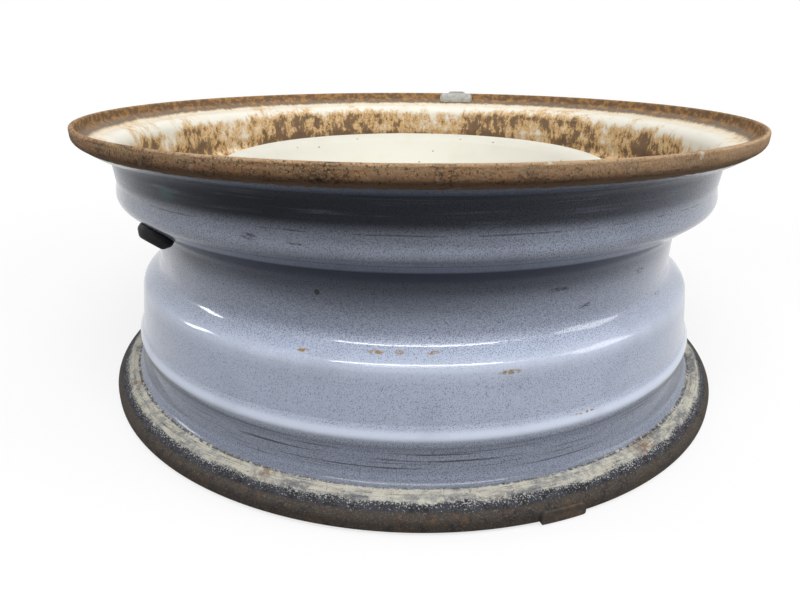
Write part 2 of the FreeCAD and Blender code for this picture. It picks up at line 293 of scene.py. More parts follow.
def makeSky(settings):
    world = bpy.data.worlds.new("studio")
    bpy.context.scene.world = world
    world.use_nodes = True
    tree = world.node_tree
    tree.nodes.clear()
    spot = tree.nodes.new("ShaderNodeTexCoord")
    split = tree.nodes.new("ShaderNodeSeparateXYZ")
    tree.links.new(spot.outputs["Generated"], split.inputs[0])
    rise = Wire(split.outputs["Z"])
    above = rise.most(0.0) * (settings["sky"] - settings["horizon"])
    below = rise.least(0.0) * (settings["horizon"] - settings["ground"])
    level = above + below + settings["horizon"]
    seen = seenDirectly(tree)
    strength = seen + (1 - seen) * level
    shader = tree.nodes.new("ShaderNodeBackground")
    shader.inputs["Color"].default_value = (1, 1, 1, 1)
    tree.links.new(strength.socket, shader.inputs["Strength"])
    output = tree.nodes.new("ShaderNodeOutputWorld")
    tree.links.new(shader.outputs[0], output.inputs["Surface"])


def makeLamps(settings):
    for name, lamp in settings.items():
        data = bpy.data.lights.new(name, "AREA")
        data.shape = "RECTANGLE"
        data.size, data.size_y = lamp["size"]
        data.energy = lamp["power"]
        light = bpy.data.objects.new(name, data)
        bpy.context.collection.objects.link(light)
        light.location = lamp["place"]
        light.rotation_euler = (-Vector(lamp["place"])).to_track_quat("-Z", "Y").to_euler()


makeFloor(studio)
makeSky(studio)
makeLamps(lamps)
bpy.context.scene.view_settings.view_transform = "Standard"
print("studio lit")


# Finishes. A look is a pattern of noise: its feature size in mm, or its length along and width across
# where it is drawn out round the wheel, the values between which it fades in, and the share it covers
rimPaint = dict(paint=(0.43, 0.482, 0.61), pepper=(0.165, 0.188, 0.25), paintedHighlight=(0.60, 0.66, 0.78),
                grimeAndShade=(0.052, 0.058, 0.075), rubberMarkAndShade=(0.020, 0.022, 0.030),
                scratch=(0.03, 0.03, 0.03), chip=(0.28, 0.19, 0.08), teal=(0.13, 0.29, 0.28))
rimLook = dict(
    frontShade=dict(fade=(0.45, 0.95)),
    speckle=dict(size=0.52, detail=2, rough=0.6, shift=5.0, fade=(0.35, 0.57)),
    cloud=dict(size=34, detail=3, rough=0.55, shift=12.0, fade=(0.48, 0.75), share=0.14),
    streak=dict(along=70, across=1.5, detail=4, rough=0.6, shift=6.0),
    patch=dict(along=45, across=14, detail=3, rough=0.5, shift=3.0),
    rubber=dict(fade=(0.16, 0.50)),
    broken=dict(along=20, across=6, detail=4, rough=0.65, shift=11.0, fade=(0.46, 0.58), share=0.8),
    wander=dict(along=55, across=9, detail=2, rough=0.5, shift=24.0),
    thin=dict(along=60, across=0.8, detail=4, rough=0.62, shift=0.0, fade=(0.57, 0.66)),
    nick=dict(along=3.2, across=0.7, detail=3, rough=0.7, shift=14.0, fade=(0.45, 0.54)),
    flake=dict(size=2.2, detail=3, rough=0.65, shift=31.0, fade=(0.44, 0.52)))
rustLook = dict(
    broad=dict(size=18, detail=4, rough=0.6, shift=3.0),
    fine=dict(size=1.6, detail=4, rough=0.70, shift=9.0),
    brown=dict(fade=(0.36, 0.52)),
    redder=dict(size=8, detail=4, rough=0.6, shift=21.0, fade=(0.50, 0.70), share=0.6))
lipRust = dict(dark=(0.048, 0.031, 0.020), brown=(0.275, 0.162, 0.090), red=(0.35, 0.160, 0.072),
               smooth=(0.32, 0.205, 0.120), tan=(0.47, 0.33, 0.20), gold=(0.55, 0.37, 0.165),
               pale=(0.52, 0.47, 0.38))
lipLook = dict(
    rightward=dict(fade=(-0.25, 0.75)),
    streak=dict(along=26, across=1.6, detail=4, rough=0.6, shift=41.0),
    darkStreak=dict(fade=(0.56, 0.70), share=0.55),
    tanStreak=dict(fade=(0.36, 0.62), share=0.6),
    pits=dict(size=1.4, detail=3, rough=0.7, shift=62.0, fade=(0.54, 0.64), share=0.85),
    fleck=dict(size=0.85, detail=3, rough=0.66, shift=17.0, fade=(0.61, 0.69), share=0.85),
    chipped=dict(size=1.5, detail=4, rough=0.7, shift=71.0),
    scale=dict(size=13, shift=8.0, fade=(0.15, 0.08)))
flangeCrust = dict(pale=(0.48, 0.465, 0.405), yellow=(0.34, 0.285, 0.17), grey=(0.20, 0.21, 0.22),
                   gap=(0.025, 0.025, 0.028), bare=(0.11, 0.115, 0.13), band=(0.046, 0.048, 0.056),
                   fleck=(0.48, 0.48, 0.47), lip=(0.062, 0.052, 0.045),
                   lipGrain=(0.15, 0.125, 0.10), rust=(0.20, 0.105, 0.045))
flangeLook = dict(
    rings=dict(along=34, across=0.9, detail=4, rough=0.66, shift=9.0),
    rubbed=dict(size=2.2, detail=4, rough=0.68, shift=52.0),
    yellowed=dict(fade=(0.46, 0.68), share=0.8),
    dull=dict(size=9, detail=5, rough=0.68, shift=36.0, fade=(0.46, 0.62), share=0.7),
    gaps=dict(along=15, across=0.5, detail=5, rough=0.72, shift=15.0, fade=(0.555, 0.64), share=0.75),
    bare=dict(along=42, across=7, detail=4, rough=0.62, shift=58.0, fade=(0.50, 0.66), share=0.8),
    bareGrain=dict(fade=(0.34, 0.52)),
    pinholes=dict(size=0.9, detail=3, rough=0.7, shift=74.0, fade=(0.57, 0.66), share=0.6),
    stain=dict(size=3.2, detail=5, rough=0.7, shift=40.0, fade=(0.44, 0.58), share=0.8),
    drift=dict(along=16, across=3, detail=4, rough=0.68, shift=19.0),
    innerGrain=dict(fade=(0.42, 0.54), share=0.85),
    grains=dict(size=0.8, detail=3, rough=0.66, shift=44.0),
    deeper=dict(size=5, detail=4, rough=0.65, shift=48.0, fade=(0.46, 0.62)),
    fleck=dict(fade=(0.60, 0.72), share=0.8),
    grimy=dict(size=7, detail=5, rough=0.68, shift=33.0, fade=(0.48, 0.66), share=0.7),
    rusty=dict(size=8, detail=5, rough=0.72, shift=27.0, fade=(0.55, 0.72), share=0.5),
    lipGrain=dict(fade=(0.52, 0.66), share=0.65))
edgeLook = dict(
    ragged=dict(size=3, detail=4, rough=0.65, shift=7.0),
    fringe=dict(fade=(0.1, 0.5), share=0.95))

# where things lie on the section: heights over the lower lip or radii in mm, from and to, and for a
# band how soft its ends are
rimZones = dict(ledge=(40, 76, 6), wellCorner=(92, 115), cornerTop=(115.6, 117.8), well=(82, 106, 4),
                innerSeat=(30.0, 36.0), seatShade=(30.0, 34.0, 2.0), beadCorner=(189.6, 191.2),
                ledgeEnd=(36.8, 41.6, 1.4), ledgeStart=(66.5, 73.0, 4.0),
                outerSeat=(137.6, 153.5, 3.2), seatLine=(135.0, 135.6, 0.35),
                rollShadeLine=(120.9, 121.5, 0.4), fineLines=(19, 32, 2.5))
lipZones = dict(smoothTop=(158.5, 160.5), edge=(161.0, 166.0), start=(156.6, 157.5),
                fringe=(154.6, 156.4, 0.5))
flangeZones = dict(start=(193.4, 194.6), innerLine=(192.4, 194.2, 0.4), band=(199.6, 201.2),
                   flecks=(200.5, 204.0), lip=(203.6, 205.2), top=(40, 50))

# how much there is of a thing all round the rim, and how much more at the front, where the extra is
# painted shade
roundAndFrontShade = dict(wellGrimeAndShade=(0.12, 0.80), seatGrimeAndShade=(0.26, 0.16), rubber=(0.24, 0.62),
                     fineLines=(0.2, 0.6))

# weights of what is summed in each tone, and how far in mm an edge wanders
noiseMean = 0.5
rimShares = dict(paleLedge=0.05, ledgeEnd=0.85, ledgeStart=0.5, cornerFall=1.2, well=0.12,
                 seatShade=0.18, beadCorner=0.22, rightLess=0.25, streak=0.6, patch=0.4,
                 seatWander=1.6, rollWander=0.6, rollShadeLine=0.55, teal=0.5)
lipShares = dict(calmRight=0.65, calmBelow=0.8, calm=0.8, evenRight=0.6, evenBelow=0.7, edgeFlecks=0.05,
                 chipped=0.5, scale=0.25, edgeScale=0.5)
flangeShares = dict(rings=0.6, rubbed=0.4, drift=6, rubbedDrift=3, innerDrift=0.2, edgeFlecks=0.12,
                    lipDrift=0.3, ringRelief=0.7, rubbedRelief=0.6)
edgeShares = dict(ragged=2.4, fringe=1.6, crust=1.1, crustAside=1.6, rough=0.28, roughRust=0.48,
                  roughMarks=0.20, coat=0.7, coatRough=0.06, specular=0.12)

# marks on the tyre side: azimuth in degrees from the front, height over the lower lip and reach
# each way in mm
chips = [(-16.3, 74.5, 5, 0.8), (-5.1, 76.1, 5, 0.9), (-1.6, 76.4, 3, 0.9), (3.5, 76.3, 4, 0.8),
         (14.7, 68.2, 7, 1.5), (27.2, 41.3, 10, 0.7)]
scratches = [(-21.6, 130.9, 7, 2.2), (-14.6, 129.9, 8, 0.8), (24.3, 100.9, 9, 1.6),
             (44.2, 99.4, 6, 2.4), (53.2, 79.1, 5, 1.6), (29.9, 89.8, 6, 2.2)]
rustStains = [(-59.0, 15.0, 6, 5), (-21.0, 14.5, 9, 5), (39.0, 14.0, 14, 6)]
pitHole = (-14.7, 101.3, 1.6, 1.6)
tealPatch = (-36.5, 144.0, 9, 6)
softness = dict(chips=0.6, scratches=0.8, rustStains=0.95, pitHole=0.25, tealPatch=0.9)


# the amount all round plus the front share, which is painted shade darkening the front
def withFrontShade(frontShade, base, more):
    return frontShade * more + base


def rustTone(finish, tones, look, shift=0.0):
    broad, fine = (finish.pattern(look[name], shift=shift) for name in ("broad", "fine"))
    rusty = finish.mix(tones["dark"], tones["brown"], finish.cover(look["brown"], (broad + fine) / 2))
    redder = finish.cover(look["redder"], finish.pattern(look["redder"], shift=shift))
    return finish.mix(rusty, tones["red"], redder), fine


# dirt and painted shade in the drop well, darkest in the recess under the hump and at the front; on the
# inboard bead seat dirt with painted shade at the front, a painted shade band where it faces down and
# painted shade in its corner; clouds of dirt all over
def rimGrimeAndShade(finish, frontShade, look, zones, shares):
    height = finish.height
    corner = finish.step(height, *zones["wellCorner"]).power(shares["cornerFall"])
    corner = corner * (1 - finish.step(height, *zones["cornerTop"]))
    well = corner * withFrontShade(frontShade, *roundAndFrontShade["wellGrimeAndShade"])
    well = well + finish.band(height, *zones["well"]) * frontShade * shares["well"]
    foot = 1 - finish.step(height, *zones["innerSeat"])
    foot = foot * withFrontShade(frontShade, *roundAndFrontShade["seatGrimeAndShade"])
    foot = foot + finish.band(height, *zones["seatShade"]) * shares["seatShade"]
    foot = foot + finish.step(finish.radius, *zones["beadCorner"]) * shares["beadCorner"]
    return well.most(foot).most(finish.cover(look["cloud"]))


# tyre rubber rubbed off on the outboard bead seat, with painted shade making it heavier at the front
# and lighter to the right, and thin dark lines round the rim, one of them a painted shade line under
# the hump
def rubberMarksAndShade(finish, frontShade, look, zones, shares):
    height = finish.height
    streak, patch = (finish.pattern(look[name], height) for name in ("streak", "patch"))
    seat = finish.band(height, *zones["outerSeat"])
    # painted shade: more marks at the front, fewer to the right where the side is lit more
    marksAndShade = withFrontShade(frontShade, *roundAndFrontShade["rubber"]) * (1 - finish.aside * shares["rightLess"])
    streaky = streak * shares["streak"] + patch * shares["patch"]
    marksAndShade = seat * marksAndShade * finish.cover(look["rubber"], streaky)
    broken, thin = (finish.cover(look[name], level=height) for name in ("broken", "thin"))
    wander = finish.pattern(look["wander"], height) - noiseMean
    seatLine = finish.band(height + wander * shares["seatWander"], *zones["seatLine"]) * broken
    # a painted shade line along the roll under the hump, at the front only
    rollShadeLine = finish.band(height + wander * shares["rollWander"], *zones["rollShadeLine"])
    rollShadeLine = rollShadeLine * frontShade * shares["rollShadeLine"]
    fineLines = finish.band(height, *zones["fineLines"]) * thin
    fineLines = fineLines * withFrontShade(frontShade, *roundAndFrontShade["fineLines"])
    return marksAndShade, seatLine.most(rollShadeLine).most(fineLines)


# sound paint with its pepper and painted highlights on the ledge, under dirt with painted shade, rubber
# marks with painted shade and the single marks
def rimPaintTone(finish, tones, look, zones, shares):
    height = finish.height
    # the front mask weights painted shade: everything it scales is darker at the front
    frontShade = finish.cover(look["frontShade"], finish.ahead)
    speckle = finish.pattern(look["speckle"])
    speckle = speckle + finish.band(height, *zones["ledge"]) * shares["paleLedge"]
    skin = finish.mix(tones["pepper"], tones["paint"], finish.cover(look["speckle"], speckle))
    # painted highlights: a paler band where the ledge's end faces up, and a painted reflection under
    # the ledge's start
    wearAndPaintedLight = finish.band(height, *zones["ledgeEnd"]) * shares["ledgeEnd"]
    wearAndPaintedLight = wearAndPaintedLight.most(finish.band(height, *zones["ledgeStart"]) * shares["ledgeStart"])
    skin = finish.mix(skin, tones["paintedHighlight"], wearAndPaintedLight)
    grimeAndShade = rimGrimeAndShade(finish, frontShade, look, zones, shares)
    skin = finish.mix(skin, tones["grimeAndShade"], grimeAndShade)
    marksAndShade, lines = rubberMarksAndShade(finish, frontShade, look, zones, shares)
    skin = finish.mix(skin, tones["rubberMarkAndShade"], marksAndShade.most(lines))
    teal = finish.spot(tealPatch, softness["tealPatch"]) * shares["teal"]
    skin = finish.mix(skin, tones["teal"], teal)
    nick = finish.cover(look["nick"], level=height)
    for place in scratches:
        skin = finish.mix(skin, tones["scratch"], finish.spot(place, softness["scratches"]) * nick)
    flake = finish.cover(look["flake"])
    for place in chips:
        skin = finish.mix(skin, tones["chip"], finish.spot(place, softness["chips"]) * flake)
    pit = finish.spot(pitHole, softness["pitHole"])
    return finish.mix(skin, tones["scratch"], pit), marksAndShade.most(grimeAndShade)


# outboard lip: dark and granular at the left, smoother and tan at the right, flecked along its edge
def lipRustTone(finish, tones, look, zones, shares):
    height = finish.height
    rusty, fine = rustTone(finish, tones, rustLook)
    rightward = finish.cover(look["rightward"], finish.aside)
    smooth = 1 - finish.step(height, *zones["smoothTop"])
    calm = (rightward * shares["calmRight"]).most(smooth * shares["calmBelow"]) * shares["calm"]
    rusty = finish.mix(rusty, finish.mix(tones["smooth"], tones["tan"], rightward * fine), calm)
    streak = finish.pattern(look["streak"], height)
    rusty = finish.mix(rusty, tones["dark"], finish.cover(look["darkStreak"], streak))
    edge = finish.step(height, *zones["edge"])
    rusty = finish.mix(rusty, tones["tan"], edge * finish.cover(look["tanStreak"], streak))
    rougher = (1 - rightward * shares["evenRight"]) * (1 - smooth * shares["evenBelow"])
    rusty = finish.mix(rusty, tones["dark"], finish.cover(look["pits"]) * rougher)
    fleck = finish.pattern(look["fleck"]) + edge * shares["edgeFlecks"]
    rusty = finish.mix(rusty, tones["gold"], finish.cover(look["fleck"], fleck) * rougher)
    chipped = (finish.pattern(look["chipped"]) - noiseMean) * shares["chipped"]
    dots = finish.cells(look["scale"]["size"], look["scale"]["shift"])
    scale = finish.cover(look["scale"], dots + chipped)
    scale = scale * (edge * shares["edgeScale"] + shares["scale"])
    return finish.mix(rusty, tones["pale"], scale), fine


# inboard flange from its bead face outwards: pale crust in rings, a dark flecked band, the rusty lip
def flangeTone(finish, tones, look, zones, shares):
    radius = finish.radius
    rings = finish.pattern(look["rings"], radius)
    rubbed = finish.pattern(look["rubbed"])
    streaky = rings * shares["rings"] + rubbed * shares["rubbed"]
    crust = finish.mix(tones["pale"], tones["yellow"], finish.cover(look["yellowed"], streaky))
    bare = finish.cover(look["bare"], level=radius) * finish.cover(look["bareGrain"], rubbed)
    crust = finish.mix(crust, tones["grey"], finish.cover(look["dull"]))
    crust = finish.mix(crust, tones["gap"], finish.cover(look["gaps"], level=radius))
    crust = finish.mix(crust, tones["bare"], bare)
    crust = finish.mix(crust, tones["gap"], finish.cover(look["pinholes"]))
    stain = finish.cover(look["stain"])
    for place in rustStains:
        crust = finish.mix(crust, tones["rust"], finish.spot(place, softness["rustStains"]) * stain)
    drift = (finish.pattern(look["drift"], radius) - noiseMean) * shares["drift"]
    drift = drift + (rubbed - noiseMean) * shares["rubbedDrift"]
    inner = finish.band(radius + drift * shares["innerDrift"], *zones["innerLine"])
    crust = finish.mix(crust, tones["gap"], inner * finish.cover(look["innerGrain"], rubbed))
    grains = finish.pattern(look["grains"])
    band = finish.mix(tones["band"], tones["gap"], finish.cover(look["deeper"]))
    rubbedEdge = (1 - finish.step(radius + drift, *zones["flecks"])) * shares["edgeFlecks"]
    band = finish.mix(band, tones["fleck"], finish.cover(look["fleck"], grains + rubbedEdge))
    crust = finish.mix(crust, band, finish.step(radius + drift, *zones["band"]))
    lip = finish.mix(tones["lip"], tones["gap"], finish.cover(look["grimy"]))
    lip = finish.mix(lip, tones["rust"], finish.cover(look["rusty"]))
    lip = finish.mix(lip, tones["lipGrain"], finish.cover(look["lipGrain"], grains))
    outward = finish.step(radius + drift * shares["lipDrift"], *zones["lip"])
    relief = rings * shares["ringRelief"] + rubbed * shares["rubbedRelief"]
    return finish.mix(crust, lip, outward), relief


def tyreSideFinish(look, shares):
    finish = Finish("tyreSidePaint")
    height = finish.height
    skin, marksAndShade = rimPaintTone(finish, rimPaint, rimLook, rimZones, rimShares)
    ragged = (finish.pattern(look["ragged"]) - noiseMean) * shares["ragged"]
    upper = finish.step(height + ragged, *lipZones["start"])
    fringe = finish.band(height + ragged * shares["fringe"], *lipZones["fringe"])
    skin = finish.mix(skin, rimPaint["scratch"], fringe * finish.cover(look["fringe"], finish.aside))
    rusty, fine = lipRustTone(finish, lipRust, lipLook, lipZones, lipShares)
    skin = finish.mix(skin, rusty, upper)
    crust, rings = flangeTone(finish, flangeCrust, flangeLook, flangeZones, flangeShares)
    outward = finish.radius + ragged * shares["crust"]
    outward = outward + finish.aside.math("ABSOLUTE") * shares["crustAside"]
    low = finish.step(outward, *flangeZones["start"])
    low = low * (1 - finish.step(height, *flangeZones["top"]))
    skin = finish.mix(skin, crust, low)
    rusted = upper.most(low)
    rough = rusted * shares["roughRust"] + marksAndShade * shares["roughMarks"] + shares["rough"]
    relief = fine * upper + rings * low
    return finish.shade(Base_Color=skin, Roughness=rough,
                        Normal=finish.bump(relief, strength=0.55, distance=0.9),
                        Coat_Weight=(1 - rusted) * (1 - marksAndShade) * shares["coat"],
                        Coat_Roughness=shares["coatRough"], Specular_IOR_Level=shares["specular"])


dishPaint = dict(cream=(0.74, 0.72, 0.64), shade=(0.60, 0.56, 0.46), halo=(0.64, 0.41, 0.15),
                 orange=(0.43, 0.24, 0.085), dark=(0.090, 0.060, 0.042), brown=(0.165, 0.108, 0.070),
                 red=(0.27, 0.15, 0.070), lip=(0.175, 0.108, 0.064), lipGrey=(0.18, 0.142, 0.112))
dishLook = dict(
    shade=dict(size=26, detail=4, rough=0.6, shift=0.0, fade=(0.52, 0.78), share=0.45),
    behind=dict(fade=(0.1, 0.9)),
    blotch=dict(size=9, detail=5, rough=0.66, stretch=(1, 1, 1.3), shift=4.0),
    drip=dict(size=2.6, detail=4, rough=0.62, stretch=(1, 1, 2.6), shift=6.0),
    patchy=dict(size=46, detail=2, rough=0.5, shift=2.0),
    orange=dict(fade=(0.72, 0.92)),
    gold=dict(fade=(0.60, 0.77), share=0.9),
    speck=dict(size=1.8, detail=3, rough=0.7, shift=66.0, fade=(0.58, 0.66), share=0.7),
    speckField=dict(fade=(0.62, 0.74)),
    cores=dict(fade=(0.80, 0.865)),
    wander=dict(size=9, detail=4, rough=0.6, shift=11.0),
    patches=dict(size=5, detail=5, rough=0.68, stretch=(1, 1, 0.7), shift=15.0, fade=(0.45, 0.60),
                 share=0.8),
    lipDark=dict(fade=(0.56, 0.72), share=0.5),
    ragged=dict(size=3, detail=4, rough=0.62, shift=8.0),
    raggedBroad=dict(size=14, detail=3, rough=0.6, shift=28.0),
    raggedLow=dict(size=6, detail=4, rough=0.6, shift=8.0))
dishZones = dict(depth=(143, 152), foot=(130, 136), brownLip=(161.5, 165.5), patches=(160, 164),
                 tinge=(157.0, 161.5), lip=(159.8, 161.6), low=(16, 20))
dishShares = dict(blotch=0.55, drip=0.25, patchy=0.40, depth=0.16, foot=0.04, depthBehind=4,
                  rustShift=2.0, orangeField=0.4, coreGrain=0.08, cores=0.92, brownWander=5,
                  patchWander=4, ragged=2.4, tinge=0.55, lowRagged=8, rough=0.42, roughRust=0.36,
                  blotchRelief=0.5, specular=0.2)


def dishSideFinish(tones, look, zones, shares):
    finish = Finish("dishSidePaint")
    height = finish.height
    skin = finish.mix(tones["cream"], tones["shade"], finish.cover(look["shade"]))
    # rust on the outboard wall: golden halos round grey-brown cores, drawn out downwards
    behind = finish.cover(look["behind"], finish.ahead * -1) * shares["depthBehind"]
    depth = 1 - finish.step(height - behind, *zones["depth"])
    foot = 1 - finish.step(height, *zones["foot"])
    blotch, drip, patchy = (finish.pattern(look[name]) for name in ("blotch", "drip", "patchy"))
    field = blotch * shares["blotch"] + drip * shares["drip"] + patchy * shares["patchy"]
    field = field + depth * shares["depth"] + foot * shares["foot"]
    rusty, fine = rustTone(finish, tones, rustLook, shares["rustShift"])
    orange = finish.cover(look["orange"], fine + field * shares["orangeField"])
    gold = finish.mix(tones["halo"], tones["orange"], orange)
    skin = finish.mix(skin, gold, finish.cover(look["gold"], field))
    speck = finish.cover(look["speck"]) * finish.cover(look["speckField"], field)
    cores = finish.cover(look["cores"], field + fine * shares["coreGrain"]).most(speck)
    skin = finish.mix(skin, rusty, cores * shares["cores"])
    # lip: grey-brown below, brown with golden patches along its edge, a tan tinge on the paint under it
    wander = finish.pattern(look["wander"])
    brown = finish.step(height + wander * shares["brownWander"], *zones["brownLip"])
    lipTone = finish.mix(tones["lipGrey"], tones["lip"], brown)
    patches = finish.step(height + wander * shares["patchWander"], *zones["patches"])
    lipTone = finish.mix(lipTone, tones["orange"], patches * finish.cover(look["patches"]))
    lipTone = finish.mix(lipTone, tones["dark"], finish.cover(look["lipDark"], fine))
    ragged = finish.pattern(look["ragged"]) + finish.pattern(look["raggedBroad"])
    edge = height + ragged * shares["ragged"]
    skin = finish.mix(skin, tones["halo"], finish.step(edge, *zones["tinge"]) * shares["tinge"])
    lip = finish.step(edge, *zones["lip"])
    skin = finish.mix(skin, lipTone, lip)
    lowEdge = height + finish.pattern(look["raggedLow"]) * shares["lowRagged"]
    low = 1 - finish.step(lowEdge, *zones["low"])
    skin = finish.mix(skin, rusty, low)
    rusted = cores.most(lip).most(low)
    relief = (fine + blotch * shares["blotchRelief"]) * rusted
    return finish.shade(Base_Color=skin, Roughness=rusted * shares["roughRust"] + shares["rough"],
                        Normal=finish.bump(relief, strength=0.4, distance=0.7),
                        Specular_IOR_Level=shares["specular"])


discPaint = dict(cream=(0.61, 0.595, 0.515), shade=(0.57, 0.54, 0.44), fleck=(0.14, 0.08, 0.045),
                 rust=(0.20, 0.105, 0.05), halo=(0.44, 0.30, 0.15), wearAndPaintedLight=(0.30, 0.28, 0.26))
discHoles = dict(boltCircle=69.85, boltCount=5, seat=10.5, handCircle=143.7, handCount=10, hand=13.0,
                 bore=54.0)
discLook = dict(
    shade=dict(size=30, detail=4, rough=0.6, shift=0.0, fade=(0.50, 0.78), share=0.6),
    fleck=dict(size=11, shift=3.0, fade=(0.29, 0.25)),
    chipped=dict(size=3, detail=4, rough=0.7, shift=0.0),
    ragged=dict(size=5, detail=5, rough=0.66, shift=13.0),
    halo=dict(fade=(9.5, 5.5), share=0.8),
    edge=dict(fade=(6.5, 3.5)),
    wearAndPaintedLight=dict(size=3, detail=4, rough=0.6, shift=5.0, fade=(0.38, 0.55)),
    skin=dict(size=1.2, detail=3, rough=0.6, shift=0.0))
discShares = dict(chipped=0.45, fleck=0.8, ragged=9, wornPast=0.6, wornFull=0.4, rough=0.40,
                  roughRust=0.4, relief=0.4, edgeRelief=2)


def discFinish(tones, look, holes, shares):
    finish = Finish("discPaint")
    skin = finish.mix(tones["cream"], tones["shade"], finish.cover(look["shade"]))
    dots = finish.cells(look["fleck"]["size"], look["fleck"]["shift"])
    fleck = finish.cover(look["fleck"], dots + finish.pattern(look["chipped"]) * shares["chipped"])
    skin = finish.mix(skin, tones["fleck"], fleck * shares["fleck"])
    # rust creeps from every cut edge, and the nut seats are worn bare
    ragged = finish.pattern(look["ragged"]) * shares["ragged"]
    bolts = finish.nearest(holes["boltCount"], holes["boltCircle"])
    hands = finish.nearest(holes["handCount"], holes["handCircle"])
    away = (hands - holes["hand"]).least(finish.radius - holes["bore"]).least(bolts - holes["seat"])
    skin = finish.mix(skin, tones["halo"], finish.cover(look["halo"], away + ragged))
    edge = finish.cover(look["edge"], away + ragged)
    skin = finish.mix(skin, tones["rust"], edge)
    wearAndPaintedLight = finish.step(bolts, holes["seat"] + shares["wornPast"], holes["seat"] - shares["wornFull"])
    skin = finish.mix(skin, tones["wearAndPaintedLight"], wearAndPaintedLight * finish.cover(look["wearAndPaintedLight"]))
    relief = finish.pattern(look["skin"]) * (edge * shares["edgeRelief"] + shares["relief"])
    return finish.shade(Base_Color=skin,
                        Roughness=fleck.most(edge) * shares["roughRust"] + shares["rough"],
                        Normal=finish.bump(relief, strength=0.25, distance=0.4))


plainLook = dict(
    patches=dict(detail=4, rough=0.6, shift=0.0, fade=(0.42, 0.66)),
    skin=dict(detail=4, rough=0.6, shift=3.0))
plainTones = dict(
    valveRubber=dict(base=(0.014, 0.014, 0.015), other=(0.028, 0.028, 0.030), size=3.0, rough=0.6,
                     shine=0.2),
    dullBrass=dict(base=(0.42, 0.31, 0.15), other=(0.26, 0.19, 0.10), size=2.0, rough=0.45, metal=0.9),
    sealPlastic=dict(base=(0.50, 0.08, 0.05), other=(0.42, 0.07, 0.05), size=1.0, rough=0.5),
    capPlastic=dict(base=(0.015, 0.015, 0.016), other=(0.025, 0.025, 0.026), size=2.0, rough=0.5,
                    shine=0.3),
    castLead=dict(base=(0.42, 0.42, 0.39), other=(0.31, 0.30, 0.27), size=4.0, rough=0.55),
    clipGrey=dict(base=(0.30, 0.28, 0.25), other=(0.20, 0.16, 0.13), size=3.0, rough=0.55),
    clipRusty=dict(base=(0.055, 0.048, 0.042), other=(0.12, 0.078, 0.048), size=4.0, rough=0.75,
                   shine=0.2),
    springSteel=dict(base=(0.35, 0.34, 0.33), other=(0.25, 0.24, 0.23), size=1.0, rough=0.4, metal=0.9))


# one tone patched with another, with a relief half as coarse
def plainFinish(name, look, base, other, size, rough, metal=0.0, shine=0.5):
    finish = Finish(name)
    skin = finish.mix(base, other, finish.cover(dict(look["patches"], size=size)))
    relief = finish.pattern(dict(look["skin"], size=size * 0.5))
    return finish.shade(Base_Color=skin, Roughness=rough, Metallic=metal, Specular_IOR_Level=shine,
                        Normal=finish.bump(relief, strength=0.35, distance=0.3))


tyreSide = tyreSideFinish(edgeLook, edgeShares)
dishSide = dishSideFinish(dishPaint, dishLook, dishZones, dishShares)
discSkin = discFinish(discPaint, discLook, discHoles, discShares)
plain = {name: plainFinish(name, plainLook, **tones) for name, tones in plainTones.items()}
print("finishes made")


# Rim: the solid's section with a tighter bend at the curl, spun in fine steps
rimShape = dict(beadRadius=0.1901, width=0.1397, wall=0.003, lipStraight=0.007, curl=0.0096,
                seatWidth=0.0184, seatTaper=5.0, humpPlace=0.0283, humpRise=0.0003, wellDepth=0.0197,
                wellStart=0.045, wellWidth=0.0288, ledgeStart=0.058, ledgeDrop=0.0076,
                ledgeEnd=0.0303, ledgeEndDrop=0.0036, innerHumpPlace=0.0243, innerHumpDrop=0.0006,
                lipRound=0.0012, turns=400, arcStep=0.16)
rimBends = dict(lip=0.005, curl=0.006, bead=0.0065, seat=0.004, hump=0.0079, well=0.008, ledge=0.0074,
                ledgeEnd=0.004, innerHump=0.004)
weldGap = 0.00001


# corners of the section from the upper lip down: radius, height and bend
def rimCorners(shape, bends):
    bead = shape["beadRadius"]
    low = lipFoot + (rimHeight - shape["width"]) / 2
    high = low + shape["width"]
    top = lipFoot + rimHeight
    drop = shape["seatWidth"] * math.tan(math.radians(shape["seatTaper"]))
    well = bead - shape["wellDepth"]
    wellTop = high - shape["wellStart"]
    return [
        (flangeRadius, top, 0),
        (flangeRadius, top - shape["lipStraight"], bends["lip"]),
        (flangeRadius - shape["curl"], high, bends["curl"]),
        (bead, high, bends["bead"]),
        (bead - drop, high - shape["seatWidth"], bends["seat"]),
        (bead + shape["humpRise"], high - shape["humpPlace"], bends["hump"]),
        (well, wellTop, bends["well"]),
        (well, wellTop - shape["wellWidth"], bends["well"]),
        (bead - shape["ledgeDrop"], low + shape["ledgeStart"], bends["ledge"]),
        (bead - shape["ledgeEndDrop"], low + shape["ledgeEnd"], bends["ledgeEnd"]),
        (bead - shape["innerHumpDrop"], low + shape["innerHumpPlace"], bends["innerHump"]),
        (bead - drop, low + shape["seatWidth"], bends["seat"]),
        (bead, low, bends["bead"]),
        (flangeRadius - shape["curl"], low, bends["curl"]),
        (flangeRadius, lipFoot + shape["lipStraight"], bends["lip"]),
        (flangeRadius, lipFoot, 0),
    ]


def unit(start, end):
    return (Vector(end[:2]) - Vector(start[:2])).normalized()


# the same corners on the other face of a sheet, right of the direction of travel
def otherFace(corners, wall):
    moved = []
    last = len(corners) - 1
    for index, here in enumerate(corners):
        first = unit(corners[index - 1], here) if index else unit(here, corners[1])
        then = unit(here, corners[index + 1]) if index < last else first
        lean = 1 + first.dot(then)
        spot = Vector(here[:2]) + Vector((first.y + then.y, -first.x - then.x)) * (wall / lean)
        turn = first.x * then.y - first.y * then.x
        moved.append((spot.x, spot.y, here[2] + math.copysign(wall, turn)))
    return moved


